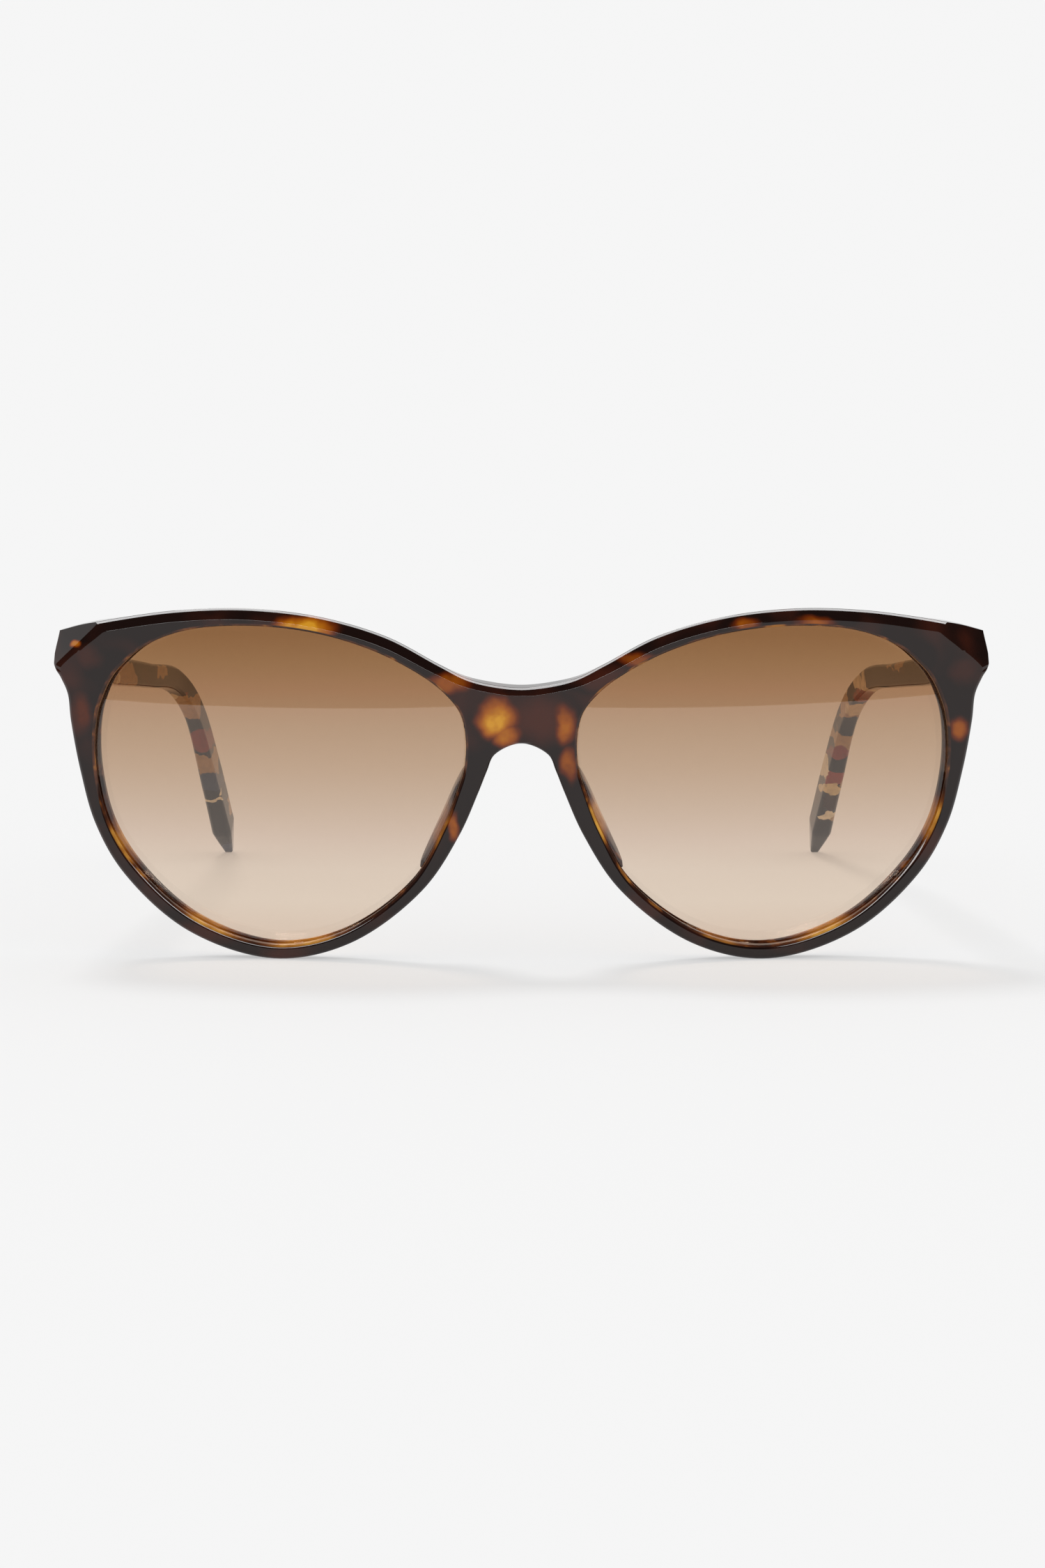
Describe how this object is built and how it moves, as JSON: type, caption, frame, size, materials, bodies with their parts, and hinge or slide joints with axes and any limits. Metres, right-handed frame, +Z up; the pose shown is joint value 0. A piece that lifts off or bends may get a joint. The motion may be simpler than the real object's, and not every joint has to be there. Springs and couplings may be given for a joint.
{
  "type": "cat eye sunglasses",
  "caption": "Cat eye sunglasses: thick acetate front with swept endpieces, brown gradient lenses, slim mosaic acetate temples on barrel hinges that fold.",
  "frame": {"origin": "middle of the footprint, on the surface that the open sunglasses stand on", "axes": "+X to the wearer's left, -Y the way the lenses face, +Z up"},
  "size_m": [0.143, 0.1378, 0.0539],
  "materials": {
    "front_acetate": "polished dark havana acetate with amber clouds",
    "temple_acetate": "polished mosaic acetate: dark brown, tan, cream, red and slate blocks",
    "lens_tint": "polished brown gradient tint, darker at the top",
    "hinge_metal": "satin gold-toned nickel silver",
    "screw_steel": "plain steel"
  },
  "bodies": {
    "front": {"front_frame": "front_acetate", "lens_left": "lens_tint", "lens_right": "lens_tint", "nose_pad_left": "front_acetate", "nose_pad_right": "front_acetate", "front_hinge_leaf_left": "hinge_metal", "front_hinge_leaf_right": "hinge_metal", "hinge_screw_left": "screw_steel", "hinge_screw_right": "screw_steel", "lower_front_leaf_screw_left": "screw_steel", "lower_front_leaf_screw_right": "screw_steel", "upper_front_leaf_screw_left": "screw_steel", "upper_front_leaf_screw_right": "screw_steel"},
    "temple_left": {"temple_left": "temple_acetate", "temple_hinge_leaf_left": "hinge_metal", "core_wire_left": "screw_steel", "fore_temple_leaf_screw_left": "screw_steel", "rear_temple_leaf_screw_left": "screw_steel"},
    "temple_right": {"temple_right": "temple_acetate", "temple_hinge_leaf_right": "hinge_metal", "core_wire_right": "screw_steel", "fore_temple_leaf_screw_right": "screw_steel", "rear_temple_leaf_screw_right": "screw_steel"}
  },
  "joints": [
    {"name": "fold_left", "type": "hinge", "parent": "front", "child": "temple_left", "pos_m": [0.0655, -0.05395, 0.04676], "axis": [0, 0, 1], "range_deg": [0, 86]},
    {"name": "fold_right", "type": "hinge", "parent": "front", "child": "temple_right", "pos_m": [-0.0655, -0.05395, 0.04676], "axis": [0, 0, -1], "range_deg": [0, 82]}
  ]
}
